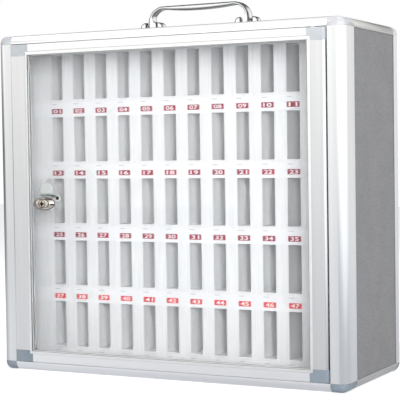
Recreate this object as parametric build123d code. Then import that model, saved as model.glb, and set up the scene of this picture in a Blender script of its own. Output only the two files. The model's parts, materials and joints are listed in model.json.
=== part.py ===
from build123d import *
import math
import os

# A cell phone locker box: an aluminium-edged case with a carrying handle, a hinged clear door with
# a cam lock, and a white rack of numbered upright slots inside.
#
# Frame: X to the right as seen from the front, Y to the back, Z up. The origin is at the centre of
# the footprint at the base, where the depth is counted from the lock's face to the case's back.

# ---------------------------------------------------------------- driving dimensions, mm

# Case
case_w = 620.0
case_h = 560.0
case_d = 245.0
post_w = 26.5            # front face of each upright edge extrusion
front_post_d = 43.0      # side face of the front uprights
rear_post_d = 25.0       # side face of the rear uprights
rail_h = 14.5            # height of every horizontal edge extrusion
edge_r = 12.0            # outer rounding of the extrusions and the corner caps
wall = 2.0               # wall of the extrusions
panel_t = 4.0
panel_recess = 1.5       # how far the panels lie behind the faces of the extrusions
groove_d = 6.0           # depth of the panel grooves
play = 0.2               # play of panels in their grooves, and of plug legs in their tubes
leg_l = 14.0             # how far the legs of the corner caps reach into the extrusions

# Door
door_gap = 1.5
door_proud = 5.0         # how far the door stands in front of the case
door_t = 16.0
lock_stile_w = 35.0
hinge_stile_w = 29.5
door_rail_w = 19.0
door_edge_r = 3.5        # outer upright edges of the door
bevel_w = 5.0            # sloping bead round the window
bevel_drop = 2.8
pane_t = 3.0
pane_setback = 4.0       # from the door's face to the pane's face
pane_groove_d = 8.0
gasket_t = 0.8
gasket_play = 0.1
back_lip_t = 2.2         # lip behind the pane
back_lip_w = 6.0
block_leg_l = 12.0       # legs of the door's corner blocks

# Door pivots
pivot_inset = 22.0       # from the door's hinge edge to the pivot axis
pivot_setback = 4.5      # from the case's front plane to the pivot axis
pivot_r = 2.0
pivot_seat = 10.0        # pin length inside the corner block
pivot_tip = 0.5          # pin length beyond the rail's wall
run_play = 0.05          # radial clearance of running fits
fit_play = 0.02          # radial clearance of fixed pins
washer_r = 4.0
washer_play = 0.1

# Lock
lock_inset = 25.5        # from the window's edge to the lock's axis
lock_reach = 8.5         # from the case's front plane to the lock's face
bezel_rx = 21.4
bezel_rz = 10.8
oval_sides = 28          # flat sides of the bezel's and the finger pull's ovals
bezel_rim_t = 1.2
lock_face_rx = 14.2
lock_face_rz = 8.2
lock_face_edge = 0.7
shoulder = 0.8           # step from the bezel's rim to its neck
barrel_r = 8.8
barrel_l = 13.0          # behind the pane
nut_af = 24.0            # nut across its flats
nut_t = 4.0
plug_r = 6.3
keyway_l = 7.5
keyway_w = 1.6
keyway_d = 3.0
cam_l = 41.0             # from the lock's axis to the cam's tip
cam_w = 13.0
cam_t = 2.0
cam_square = 6.0
cam_gap = 0.3            # between the barrel's end and the cam
cam_screw_r = 4.0
cam_screw_t = 2.0
strike_cover = 5.0       # how far the turned cam reaches behind the strike plate
strike_t = 2.0
strike_h = 36.0
strike_foot = 16.0       # along the post, behind the long leg
strike_round = 6.0
strike_cam_gap = 1.5

# Finger pull
pull_rx = 13.9
pull_rz = 12.0
pull_t = 3.2
pull_bevel = 0.9
pull_corner = 1.8        # bevelled ends of its flat edge
pull_flat = 7.5          # from the pull's centre down to its flat edge
pull_dx = 6.0            # from the lock's axis to the pull's centre
pull_dz = 23.5

# Slot rack
slot_pitch_x = 43.8
slot_pitch_z = 105.0
slot_w = 22.0
slot_h = 76.0
rack_setback = 72.0      # from the case's front plane to the rack's face
top_strip_h = 16.0       # rack above the highest slots, below the upper rails
least_base_h = 12.0      # least height of rack below the lowest slots
least_side_w = 20.0      # least width of rack beside the outer slots
rack_wall = 1.5
rack_play = 0.2
rack_back_t = 2.0
wing_return = 30.0       # outer lip of the rack's side pieces

# Handle
handle_span = 187.5      # over the legs
handle_rise = 49.0       # from the top panel to the top of the grip
handle_aft = 9.0         # from the middle of the top panel back to the handle's axis
handle_deep = 18.0
handle_bend_r = 28.0
bail_edge = 1.3          # bevel along the bail's edges
bend_steps = 6
grip_steps = 3           # from a bend to the middle of the grip
foot_w = 13.5            # width of a leg at its eye
flare_turn = 32.0        # share of the bend, in degrees, over which the leg narrows
bend_t = 4.6
grip_t = 8.8             # in the middle of the grip
eye_r = 8.0
eye_l = 16.0
eye_shift = 2.75         # how far the eye stands out past the leg
handle_pin_r = 3.0
bracket_base_t = 3.0
bracket_base_w = 62.0
bracket_base_d = 24.0
bracket_corner = 4.0
ear_w = 11.5
ear_gap = 20.0           # between the ears of a bracket
ear_d = 14.0
ear_rise = 10.0          # above the pin's axis
ear_round = 9.0          # outer upper corner of an ear
pin_inset = 0.5          # how far a pin's ends lie inside the ears' outer faces
handle_pivot_h = 13.0    # from the top panel to the pin's axis

# ---------------------------------------------------------------- places worked out from these

right = case_w / 2
front = lock_reach - (lock_reach + case_d) / 2
back = front + case_d
mid_z = case_h / 2
open_y = (front + front_post_d + back - rear_post_d) / 2     # middle of the top and side panels
groove_w = panel_t + 2 * play
panel_face = panel_recess + play                 # outer face of a panel, from the case's face
panel_back = panel_face + panel_t                # its inner face

door_front = front - door_proud
door_right = right - post_w - door_gap
door_left = -door_right
door_low = rail_h + door_gap
door_high = case_h - rail_h - door_gap
window_left = door_left + lock_stile_w
window_right = door_right - hinge_stile_w
window_low = door_low + door_rail_w
window_high = door_high - door_rail_w
pane_front = door_front + pane_setback
pane_back = pane_front + pane_t
pane_reach = pane_groove_d - gasket_t - gasket_play
pane_left, pane_right = window_left - pane_reach, window_right + pane_reach
pane_low, pane_high = window_low - pane_reach, window_high + pane_reach
pivot_x = door_right - pivot_inset
pivot_y = front + pivot_setback

lock_x = window_left + lock_inset
lock_z = mid_z
lock_front = front - lock_reach
barrel_end = pane_back + barrel_l
cam_front = barrel_end + cam_gap
strike_back = cam_front - strike_cam_gap
strike_tip_x = lock_x - cam_l + strike_cover

rack_front = front + rack_setback
rack_low = rail_h
rack_high = case_h - rail_h
rack_half = right - post_w - rack_play
skirt_low = panel_back + rack_play
skirt_high = case_h - skirt_low
wing_half = right - panel_back - rack_play
rack_rear = back - panel_back
channel_rear = rack_rear - rack_back_t
first_top = rack_high - top_strip_h
rows = int((first_top - rack_low - least_base_h - slot_h) // slot_pitch_z) + 1
columns = int((2 * (rack_half - least_side_w) - slot_w) // slot_pitch_x) + 1
slot_x = [(i - (columns - 1) / 2) * slot_pitch_x for i in range(columns)]
slot_top = [first_top - row * slot_pitch_z for row in range(rows)]

top_face = case_h - panel_face
handle_pivot_z = top_face + handle_pivot_h
grip_top = top_face + handle_rise
handle_half = handle_span / 2
handle_y = open_y + handle_aft
leg_x = handle_half + eye_shift - eye_l / 2


def write(name, shape):
    """Write one piece, or one group of like pieces, to its own file."""
    export_step(shape, f"parts/{name}.step")


def area(x0, x1, y0, y1):
    """A rectangle between two corners of the sketch plane."""
    return Pos((x0 + x1) / 2, (y0 + y1) / 2) * Rectangle(x1 - x0, y1 - y0)


def block(x0, x1, y0, y1, z0, z1):
    """A rectangular solid between two corners."""
    return extrude(Plane.XY.offset(z0) * area(x0, x1, y0, y1), z1 - z0)


def bar(section, corner, a_dir, b_dir, length):
    """Run a section along an edge of the case: a and b point inward from the outer corner."""
    a_dir, b_dir = Vector(*a_dir), Vector(*b_dir)
    place = Plane(origin=corner, x_dir=a_dir, z_dir=a_dir.cross(b_dir))
    return extrude(place * section, length)


def across_x(shape):
    return mirror(shape, about=Plane.YZ)


def across_z(shape):
    return mirror(shape, about=Plane.XY.offset(mid_z))


def sin_deg(angle):
    return math.sin(math.radians(angle))


def cos_deg(angle):
    return math.cos(math.radians(angle))


def oval(rx, rz):
    """Oval with many flat sides. Side i faces the same way at every size, so lofts have flat sides too."""
    step = 360 / oval_sides
    points = []
    for i in range(oval_sides):
        near = math.hypot(rx * cos_deg(i * step), rz * sin_deg(i * step))
        far = math.hypot(rx * cos_deg((i + 1) * step), rz * sin_deg((i + 1) * step))
        turn = (far - near * cos_deg(step)) / sin_deg(step)
        points.append((near * cos_deg(i * step) - turn * sin_deg(i * step),
                       near * sin_deg(i * step) + turn * cos_deg(i * step)))
    return make_face(Polyline(*points, close=True))


def along_y(sketch, y0, y1):
    """Extrude a sketch drawn in X and Z from y0 back to y1."""
    return extrude(Plane(origin=(0, y0, 0), x_dir=(1, 0, 0), z_dir=(0, -1, 0)) * sketch, y0 - y1)


# ---------------------------------------------------------------- case extrusions

def tube_hollow(a_size, b_size, two_panels, gap=0.0):
    """Hollow of an edge extrusion, or with a gap the plug leg that fills it."""
    b_low = panel_recess + groove_w + wall if two_panels else wall
    b_high = b_size - groove_d - wall
    hollow = area(wall + gap, a_size - wall - gap, b_low + gap, b_high - gap)
    if two_panels:
        return hollow
    corner = hollow.vertices().sort_by_distance((0, 0))[0]
    inner_r = min(edge_r - wall, a_size - 2 * wall - 3 * play)
    return chamfer(corner, inner_r) if gap else fillet(corner, inner_r)


def outer_outline(a_size, b_size):
    """Outline of an edge extrusion, rounded at its outer corner."""
    outline = area(0, a_size, 0, b_size)
    return fillet(outline.vertices().sort_by_distance((0, 0))[0], edge_r)


def edge_section(a_size, b_size, two_panels):
    """Section of an edge extrusion: rounded outside, hollow, with one or two panel grooves."""
    outline = outer_outline(a_size, b_size)
    outline -= area(panel_recess, panel_recess + groove_w, b_size - groove_d, b_size)
    if two_panels:
        outline -= area(a_size - groove_d, a_size, panel_recess, panel_recess + groove_w)
    return outline - tube_hollow(a_size, b_size, two_panels)


INWARD_X, OUTWARD_X = (-1, 0, 0), (1, 0, 0)
INWARD_Y, OUTWARD_Y = (0, 1, 0), (0, -1, 0)
DOWN = (0, 0, -1)
post_l = case_h - 2 * rail_h
rail_l = case_w - 2 * post_w
side_rail_l = case_d - front_post_d - rear_post_d


def front_post():
    section = edge_section(post_w, front_post_d, False)
    return bar(section, (right, front, case_h - rail_h), INWARD_X, INWARD_Y, post_l)


def rear_post():
    section = edge_section(post_w, rear_post_d, True)
    return bar(section, (right, back, rail_h), INWARD_X, OUTWARD_Y, post_l)


def front_rail():
    """Front top rail, with the bore of the door's pivot pin through its lower wall."""
    section = edge_section(rail_h, front_post_d, False)
    rail = bar(section, (-right + post_w, front, case_h), DOWN, INWARD_Y, rail_l)
    lower_wall = Pos(pivot_x, pivot_y, case_h - rail_h + wall / 2)
    return rail - lower_wall * Cylinder(pivot_r + run_play, 2 * wall)


def rear_rail():
    section = edge_section(rail_h, rear_post_d, True)
    return bar(section, (right - post_w, back, case_h), DOWN, OUTWARD_Y, rail_l)


def side_rail():
    section = edge_section(rail_h, post_w, True)
    return bar(section, (right, front + front_post_d, case_h), DOWN, INWARD_X, side_rail_l)


def corner_cap(at_front):
    """Corner cap: a block with three rounded edges, and a plug leg into each of the three extrusions."""
    deep = front_post_d if at_front else rear_post_d
    y_face = front if at_front else back
    y_in = INWARD_Y if at_front else OUTWARD_Y
    inner_y = y_face + y_in[1] * deep
    post_end, rail_end = (right, y_face, case_h - rail_h), (right - post_w, y_face, case_h)
    side_end = (right, inner_y, case_h)
    upright = bar(outer_outline(post_w, deep), post_end, INWARD_X, y_in, -rail_h * y_in[1])
    cross = bar(outer_outline(rail_h, deep), rail_end, DOWN, y_in, post_w * y_in[1])
    long = bar(outer_outline(rail_h, post_w), side_end, DOWN, INWARD_X, -deep * y_in[1])
    post_leg = tube_hollow(post_w, deep, not at_front, play)
    rail_leg = tube_hollow(rail_h, deep, not at_front, play)
    side_leg = tube_hollow(rail_h, post_w, True, play)
    run = leg_l * y_in[1]
    down_leg = bar(post_leg, post_end, INWARD_X, y_in, run)
    cross_leg = bar(rail_leg, rail_end, DOWN, y_in, -run)
    long_leg = bar(side_leg, side_end, DOWN, INWARD_X, run)
    return (upright & cross & long) + down_leg + cross_leg + long_leg


def panel_outline(open_w, open_h):
    """A panel for a frame opening: it reaches into the grooves and is notched at the corner caps."""
    reach = groove_d - play
    wide = Rectangle(open_w + 2 * reach, open_h - 2 * play)
    return wide + Rectangle(open_w - 2 * play, open_h + 2 * reach)


def side_panel():
    outline = panel_outline(side_rail_l, post_l)
    place = Plane(origin=(right - panel_back, open_y, mid_z), x_dir=(0, 1, 0), z_dir=(1, 0, 0))
    return extrude(place * outline, panel_t)


def top_panel():
    outline = Pos(0, open_y, case_h - panel_back) * panel_outline(rail_l, side_rail_l)
    return extrude(outline, panel_t)


def back_panel():
    return along_y(Pos(0, mid_z) * panel_outline(rail_l, post_l), back - panel_back, back - panel_face)


def build_case():
    upright = {"front_post": front_post(), "rear_post": rear_post(), "side_panel": side_panel()}
    for name, piece in upright.items():
        write(f"{name}_right", piece)
        write(f"{name}_left", across_x(piece))
    level = {"front_rail": front_rail(), "rear_rail": rear_rail(), "panel": top_panel()}
    for name, piece in level.items():
        write(f"{name}_top", piece)
        write(f"{name}_base", across_z(piece))
    at_corners = {"side_rail": side_rail(), "cap_front": corner_cap(True), "cap_rear": corner_cap(False)}
    for name, piece in at_corners.items():
        write(f"{name}_top_right", piece)
        write(f"{name}_top_left", across_x(piece))
        write(f"{name}_base_right", across_z(piece))
        write(f"{name}_base_left", across_x(across_z(piece)))
    write("panel_back", back_panel())
    ring = Circle(washer_r) - Circle(pivot_r + run_play)
    washer = Pos(pivot_x, pivot_y, rail_h) * extrude(ring, door_gap - washer_play)
    write("pivot_washers", Compound([washer, across_z(washer)]))
    write("strike_plate", strike_plate())


def strike_plate():
    """Angle plate on the left post: the turned cam of the lock lies behind its long leg."""
    post_face = -right + post_w
    leg = area(post_face, strike_tip_x, strike_back - strike_t, strike_back)
    foot = area(post_face, post_face + strike_t, strike_back - strike_t, strike_back + strike_foot)
    plate = extrude(Plane.XY.offset(lock_z - strike_h / 2) * (leg + foot), strike_h)
    return fillet(plate.edges().filter_by(Axis.Y).sort_by(Axis.X)[-2:], strike_round)


# ---------------------------------------------------------------- slot rack

def strip(z0, z1):
    """Cross channel of the rack: its front is a label strip, its flanges floor and roof the slots."""
    face = block(-wing_half, wing_half, rack_front, rack_front + rack_wall, z0, z1)
    floor = block(-rack_half, rack_half, rack_front, channel_rear, z1 - rack_wall, z1)
    roof = block(-rack_half, rack_half, rack_front, channel_rear, z0, z0 + rack_wall)
    return face + floor + roof


def skirt(z0, z1):
    """Continues the face of an end strip between the side rails, to the base or the top panel."""
    return block(-rack_half, rack_half, rack_front, rack_front + rack_wall, z0, z1)


def divider(x0, x1, z0, z1):
    """Upright channel between two slots, open to the back."""
    walls = area(x0, x1, rack_front, channel_rear)
    walls -= area(x0 + rack_wall, x1 - rack_wall, rack_front + rack_wall, channel_rear)
    return extrude(Plane.XY.offset(z0) * walls, z1 - z0)


def wing(x_slot, z0, z1):
    """Side piece of a row, from the last slot to the case's side, with a short outer lip."""
    face = area(x_slot, wing_half, rack_front, rack_front + rack_wall)
    inner = area(x_slot, x_slot + rack_wall, rack_front, channel_rear)
    lip = area(wing_half - rack_wall, wing_half, rack_front, rack_front + wing_return)
    return extrude(Plane.XY.offset(z0) * (face + inner + lip), z1 - z0)


def row_pieces(top):
    low = top - slot_h
    half = slot_w / 2
    between = [divider(a + half, b - half, low, top) for a, b in zip(slot_x, slot_x[1:])]
    end = wing(slot_x[-1] + half, low, top)
    return Compound([across_x(end), *between, end])


def build_rack():
    lowest = slot_top[-1] - slot_h
    gaps = [(below, above - slot_h) for above, below in zip(slot_top, slot_top[1:])]
    write("rack_strip_top", strip(slot_top[0], rack_high) + skirt(rack_high, skirt_high))
    write("rack_strips", Compound([strip(low, high) for low, high in gaps]))
    write("rack_strip_base", strip(rack_low, lowest) + skirt(skirt_low, rack_low))
    for row, top in enumerate(slot_top, start=1):
        write(f"slot_dividers_row_{row}", row_pieces(top))
    write("rack_back", block(-rack_half, rack_half, channel_rear, rack_rear, rack_low, rack_high))


# ---------------------------------------------------------------- door

pane_groove_front = pane_setback - gasket_t - gasket_play
pane_groove_back = pane_setback + pane_t + gasket_t + gasket_play


def door_section(width):
    """Section of a door bar: a runs in from the outer edge to the window, b from face to back."""
    lip_back = pane_groove_back + back_lip_t
    step = width - back_lip_w
    face = [(0, 0), (width - bevel_w, 0), (width, bevel_drop)]
    rear = [(width, lip_back), (step, lip_back), (step, door_t), (0, door_t)]
    outline = make_face(Polyline(*face, *rear, close=True))
    return outline - area(width - pane_groove_d, width, pane_groove_front, pane_groove_back)


def door_hollow(width, gap=0.0):
    return area(wall + gap, width - pane_groove_d - wall - gap, wall + gap, door_t - wall - gap)


def round_outer_edge(piece):
    """Round the upright edge that swings past the case's post."""
    edge = Vector(door_right, door_front)
    upright = piece.edges().filter_by(Axis.Z)
    outer = [e for e in upright if (Vector(e.center().X, e.center().Y) - edge).length < 0.01]
    return fillet(outer, door_edge_r)


def stile(width, side, z0, z1, hollow):
    """Upright door bar; side is 1 at the hinge edge and -1 at the lock edge."""
    section = door_section(width) - door_hollow(width) if hollow else door_section(width)
    piece = bar(section, (door_right, door_front, z1), INWARD_X, INWARD_Y, z1 - z0)
    if hollow:
        piece = round_outer_edge(piece)
    return piece if side > 0 else across_x(piece)


def door_bar(x0, x1, hollow):
    """Top door bar between two places along X."""
    section = door_section(door_rail_w)
    if hollow:
        section -= door_hollow(door_rail_w)
    return bar(section, (x0, door_front, door_high), DOWN, INWARD_Y, x1 - x0)


def corner_block(width, side):
    """Top corner block of the door, with legs into its stile and its rail, and the pane's pocket."""
    reach_in = door_right - width
    upright = stile(width, 1, window_high, door_high, False)
    piece = round_outer_edge(upright + door_bar(reach_in, door_right, False))
    leg_top = (door_right, door_front, window_high)
    stile_leg = bar(door_hollow(width, play), leg_top, INWARD_X, INWARD_Y, block_leg_l)
    leg_side = (reach_in, door_front, door_high)
    rail_leg = bar(door_hollow(door_rail_w, play), leg_side, DOWN, INWARD_Y, -block_leg_l)
    piece = piece + stile_leg + rail_leg
    if side > 0:
        seat = Pos(pivot_x, pivot_y, door_high - pivot_seat / 2) * Cylinder(pivot_r + fit_play, pivot_seat)
        return piece - seat
    return across_x(piece)


def pane():
    sheet = area(pane_left, pane_right, pane_low, pane_high)
    hole = Pos(lock_x, lock_z) * Circle(barrel_r + play)
    return along_y(sheet - hole, pane_front, pane_back)


def gasket():
    """Four strips of U section round the edge of the pane."""
    outer = area(-gasket_t, pane_reach, -gasket_t, pane_t + gasket_t)
    section = outer - area(0, pane_reach, 0, pane_t)
    height = pane_high - pane_low
    right_strip = bar(section, (pane_right, pane_front, pane_high), INWARD_X, INWARD_Y, height)
    left_strip = bar(section, (pane_left, pane_front, pane_low), OUTWARD_X, INWARD_Y, height)
    width = window_right - window_left
    top_strip = bar(section, (window_left, pane_front, pane_high), DOWN, INWARD_Y, width)
    return Compound([right_strip, left_strip, top_strip, across_z(top_strip)])


def pivot_pins():
    length = pivot_seat + door_gap + wall + pivot_tip
    pin = Pos(pivot_x, pivot_y, door_high - pivot_seat + length / 2) * Cylinder(pivot_r, length)
    return Compound([pin, across_z(pin)])


def finger_pull():
    """Clear domed disc with a flat lower edge, on the face of the pane."""
    outline = oval(pull_rx, pull_rz) & area(-pull_rx, pull_rx, -pull_flat, pull_rz)
    outline = chamfer(outline.vertices().sort_by(Axis.Y)[:2], pull_corner)
    pull = along_y(outline, pane_front - pull_t, pane_front)
    pull = chamfer(pull.faces().sort_by(Axis.Y)[0].edges(), pull_bevel)
    return Pos(lock_x + pull_dx, 0, lock_z + pull_dz) * pull


def build_door():
    write("door_stile_hinge", stile(hinge_stile_w, 1, window_low, window_high, True))
    write("door_stile_lock", stile(lock_stile_w, -1, window_low, window_high, True))
    top_bar = door_bar(window_left, window_right, True)
    write("door_rail_top", top_bar)
    write("door_rail_base", across_z(top_bar))
    for name, width, side in (("hinge", hinge_stile_w, 1), ("lock", lock_stile_w, -1)):
        piece = corner_block(width, side)
        write(f"door_corner_top_{name}", piece)
        write(f"door_corner_base_{name}", across_z(piece))
    write("door_pane", pane())
    write("pane_gasket", gasket())
    write("pivot_pins", pivot_pins())
    write("finger_pull", finger_pull())


# ---------------------------------------------------------------- lock

def lock_oval(rx, rz, y):
    return Plane(origin=(lock_x, y, lock_z), x_dir=(1, 0, 0), z_dir=(0, -1, 0)) * oval(rx, rz)


def lock_rod(r, y0, y1):
    return along_y(Pos(lock_x, lock_z) * Circle(r), y0, y1)


def lock_housing():
    """Oval bezel that narrows to the lock's face, with the threaded barrel through the pane."""
    rim_front = pane_front - bezel_rim_t
    rim = along_y(Pos(lock_x, lock_z) * oval(bezel_rx, bezel_rz), rim_front, pane_front)
    foot = lock_oval(bezel_rx - shoulder, bezel_rz - shoulder, rim_front)
    brow = lock_oval(lock_face_rx, lock_face_rz, lock_front + lock_face_edge)
    face = lock_oval(lock_face_rx - lock_face_edge, lock_face_rz - lock_face_edge, lock_front)
    neck = loft([foot, brow, face], ruled=True)
    barrel = lock_rod(barrel_r, pane_front, barrel_end)
    return rim + neck + barrel - lock_rod(plug_r + run_play, lock_front, barrel_end)


def lock_nut():
    hexagon = RegularPolygon(nut_af / 2, 6, major_radius=False) - Circle(barrel_r + fit_play)
    return along_y(Pos(lock_x, lock_z) * hexagon, pane_back, pane_back + nut_t)


def lock_plug():
    """Plug with its keyway, and the square end that drives the cam."""
    plug = lock_rod(plug_r, lock_front, barrel_end + cam_gap)
    keyway = Rectangle(keyway_w, keyway_l) + Rectangle(keyway_l / 2, keyway_w)
    keyway = along_y(Pos(lock_x, lock_z) * keyway, lock_front, lock_front + keyway_d)
    square = along_y(Pos(lock_x, lock_z) * Rectangle(cam_square, cam_square), cam_front, cam_front + cam_t)
    return plug - keyway + square


def lock_cam():
    """Cam, turned up at rest, where it leaves the door free to open."""
    straight = cam_l - cam_w / 2
    outline = Pos(0, straight / 2) * SlotCenterToCenter(straight, cam_w, 90)
    outline -= Rectangle(cam_square + 2 * fit_play, cam_square + 2 * fit_play)
    return along_y(Pos(lock_x, lock_z) * outline, cam_front, cam_front + cam_t)


def build_lock():
    cam_back = cam_front + cam_t
    write("lock_housing", lock_housing())
    write("lock_nut", lock_nut())
    write("lock_plug", lock_plug())
    write("lock_cam", lock_cam())
    write("cam_screw", lock_rod(cam_screw_r, cam_back, cam_back + cam_screw_t))


# ---------------------------------------------------------------- handle

def bail_section(x, z, turn, thick):
    """Flat section of the bail: x, z is on its outer line, and turn is the way that it faces."""
    out_x, out_z = cos_deg(turn), sin_deg(turn)
    centre = (x - out_x * thick / 2, handle_y, z - out_z * thick / 2)
    place = Plane(origin=centre, x_dir=(0, 1, 0), z_dir=(-out_z, 0, out_x))
    return place * chamfer(Rectangle(handle_deep, thick).vertices(), bail_edge)


def bend_section(turn):
    """Section of the right bend: the leg narrows from its foot as it turns."""
    narrowing = max(0.0, 1 - turn / flare_turn) ** 2
    x = handle_half - handle_bend_r * (1 - cos_deg(turn))
    z = grip_top - handle_bend_r * (1 - sin_deg(turn))
    return bail_section(x, z, turn, bend_t + (foot_w - bend_t) * narrowing)


def grip_section(share):
    """Section of the grip, at a share of the way from its middle to the right bend."""
    thick = grip_t + (bend_t - grip_t) * share ** 2
    return bail_section((handle_half - handle_bend_r) * share, grip_top, 90, thick)


def bail():
    """Chromed bail: a flat bar, thin at the bends, fuller in the grip, with an eye at each foot."""
    sections = [bail_section(handle_half, handle_pivot_z, 0, foot_w)]
    sections += [bend_section(90 * step / bend_steps) for step in range(bend_steps + 1)]
    sections += [grip_section(1 - step / grip_steps) for step in range(1, grip_steps + 1)]
    half = loft(sections, ruled=True)
    spot = Pos(leg_x, handle_y, handle_pivot_z) * Rot(0, 90, 0)
    half = half + spot * Cylinder(eye_r, eye_l) - spot * Cylinder(handle_pin_r + run_play, ear_gap)
    return half + across_x(half)


def bracket():
    """Clevis bracket on the top panel: a foot plate with two ears, each rounded at its outer corner."""
    plate = Rectangle(bracket_base_w, bracket_base_d)
    plate = chamfer(plate.vertices(), bracket_corner)
    foot = extrude(Pos(leg_x, handle_y, top_face) * plate, bracket_base_t)
    ear_top = handle_pivot_z + ear_rise
    ear = area(ear_gap / 2, ear_gap / 2 + ear_w, top_face + bracket_base_t, ear_top)
    corner = ear.vertices().sort_by_distance((ear_gap / 2 + ear_w, ear_top))[0]
    ear = along_y(fillet(corner, ear_round), -ear_d / 2, ear_d / 2)
    ears = Pos(leg_x, handle_y, 0) * (ear + across_x(ear))
    return foot + ears - handle_pin(handle_pin_r + fit_play)


def handle_pin(radius):
    """Pin through both ears and the eye, or with a larger radius the bore for it."""
    length = ear_gap + 2 * ear_w - 2 * pin_inset
    return Pos(leg_x, handle_y, handle_pivot_z) * Rot(0, 90, 0) * Cylinder(radius, length)


def build_handle():
    write("handle_bail", bail())
    write("handle_bracket_right", bracket())
    write("handle_bracket_left", across_x(bracket()))
    pin = handle_pin(handle_pin_r)
    write("handle_pins", Compound([pin, across_x(pin)]))


os.makedirs("parts", exist_ok=True)
build_case()
build_rack()
build_door()
build_lock()
build_handle()
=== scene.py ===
import json
import math

import bmesh
import bpy
from mathutils import Matrix, Vector


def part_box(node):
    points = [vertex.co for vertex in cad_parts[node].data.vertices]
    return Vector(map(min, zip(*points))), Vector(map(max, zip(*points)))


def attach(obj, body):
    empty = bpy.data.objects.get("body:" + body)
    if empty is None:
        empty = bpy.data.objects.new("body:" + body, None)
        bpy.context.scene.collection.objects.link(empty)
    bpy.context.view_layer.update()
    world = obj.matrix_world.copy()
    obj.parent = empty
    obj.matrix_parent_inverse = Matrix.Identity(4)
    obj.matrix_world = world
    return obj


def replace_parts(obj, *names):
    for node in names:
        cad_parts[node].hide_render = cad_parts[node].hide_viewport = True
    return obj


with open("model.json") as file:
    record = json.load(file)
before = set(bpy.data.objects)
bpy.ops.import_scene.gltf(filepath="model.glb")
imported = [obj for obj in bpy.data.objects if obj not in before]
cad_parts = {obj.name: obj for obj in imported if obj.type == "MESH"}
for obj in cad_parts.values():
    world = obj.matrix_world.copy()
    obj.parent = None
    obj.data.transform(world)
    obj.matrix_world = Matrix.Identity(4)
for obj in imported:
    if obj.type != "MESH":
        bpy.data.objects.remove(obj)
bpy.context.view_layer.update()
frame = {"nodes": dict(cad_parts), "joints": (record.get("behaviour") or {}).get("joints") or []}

# Lengths are in millimetres until a mesh is made.
MM = 0.001


def node_box(name):
    """Lowest and highest corner of a CAD node, in millimetres."""
    return [[c / MM for c in corner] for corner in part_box(name)]


# Where the joints turn, in millimetres.
JOINT_AT = {joint["name"]: [c / MM for c in joint["pos_m"]] for joint in frame["joints"]}

# ---------------------------------------------------------------- effects shared by the materials


def add(tree, kind, **settings):
    made = tree.nodes.new(kind)
    for name, value in settings.items():
        setattr(made, name, value)
    return made


def effect(name, *outputs):
    """An empty node group with a Stretch input: its tree, its stretched object place and its end node."""
    tree = bpy.data.node_groups.new(name, "ShaderNodeTree")
    stretch = tree.interface.new_socket("Stretch", in_out="INPUT", socket_type="NodeSocketVector")
    stretch.default_value = (1, 1, 1)
    for label in outputs:
        tree.interface.new_socket(label, in_out="OUTPUT", socket_type="NodeSocketFloat")
    entry, result = add(tree, "NodeGroupInput"), add(tree, "NodeGroupOutput")
    where, placed = add(tree, "ShaderNodeTexCoord"), add(tree, "ShaderNodeMapping")
    tree.links.new(where.outputs["Object"], placed.inputs["Vector"])
    tree.links.new(entry.outputs["Stretch"], placed.inputs["Scale"])
    return tree, placed.outputs["Vector"], result


def noise(tree, place, scale, detail, roughness=0.5, distortion=0.0):
    made = add(tree, "ShaderNodeTexNoise")
    made.inputs["Scale"].default_value = scale
    made.inputs["Detail"].default_value = detail
    made.inputs["Roughness"].default_value = roughness
    made.inputs["Distortion"].default_value = distortion
    tree.links.new(place, made.inputs["Vector"])
    return made.outputs["Fac"]


def spread(tree, value, low, high, to_low=0.0, to_high=1.0):
    """Spreads a value between low and high over a new range, and cuts it off at both ends."""
    made = add(tree, "ShaderNodeMapRange")
    for label, number in (("From Min", low), ("From Max", high), ("To Min", to_low), ("To Max", to_high)):
        made.inputs[label].default_value = number
    tree.links.new(value, made.inputs["Value"])
    return made.outputs["Result"]


def maths(tree, kind, first, second):
    made = add(tree, "ShaderNodeMath", operation=kind)
    for socket, value in zip(made.inputs, (first, second)):
        if isinstance(value, (int, float)):
            socket.default_value = value
        else:
            tree.links.new(value, socket)
    return made.outputs["Value"]


def mixed(tree, share, first, second):
    """A colour between two others, each given as three numbers or as a socket."""
    made = add(tree, "ShaderNodeMix", data_type="RGBA")
    tree.links.new(share, made.inputs["Factor"])
    for label, colour in (("A", first), ("B", second)):
        if isinstance(colour, tuple):
            made.inputs[label].default_value = (*colour, 1)
        else:
            tree.links.new(colour, made.inputs[label])
    return made.outputs["Result"]


def make_drawn_grain():
    """Fine lines left by drawing or brushing, with slow light and dark bands between them."""
    tree, place, result = effect("drawn_grain", "Lines", "Bands")
    tree.links.new(spread(tree, noise(tree, place, 900, 3, 0.6), 0.3, 0.7), result.inputs["Lines"])
    tree.links.new(spread(tree, noise(tree, place, 60, 2), 0.3, 0.7), result.inputs["Bands"])
    return tree


def make_speckle():
    """Close mottling of small pale and dark spots."""
    tree, place, result = effect("speckle", "Spots", "Clouds", "Dots")
    tree.links.new(spread(tree, noise(tree, place, 330, 4, 0.65), 0.28, 0.72), result.inputs["Spots"])
    tree.links.new(spread(tree, noise(tree, place, 25, 3), 0.3, 0.7), result.inputs["Clouds"])
    cells = add(tree, "ShaderNodeTexVoronoi")
    cells.inputs["Scale"].default_value = 700
    tree.links.new(place, cells.inputs["Vector"])
    tree.links.new(spread(tree, cells.outputs["Distance"], 0.1, 0.6), result.inputs["Dots"])
    return tree


def make_handling():
    """Faint smears and finger marks, and a fine moulded or coated texture."""
    tree, place, result = effect("handling", "Smears", "Grain")
    tree.links.new(spread(tree, noise(tree, place, 14, 4, 0.6, 0.8), 0.35, 0.7), result.inputs["Smears"])
    tree.links.new(spread(tree, noise(tree, place, 1400, 2), 0.3, 0.7), result.inputs["Grain"])
    return tree


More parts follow.
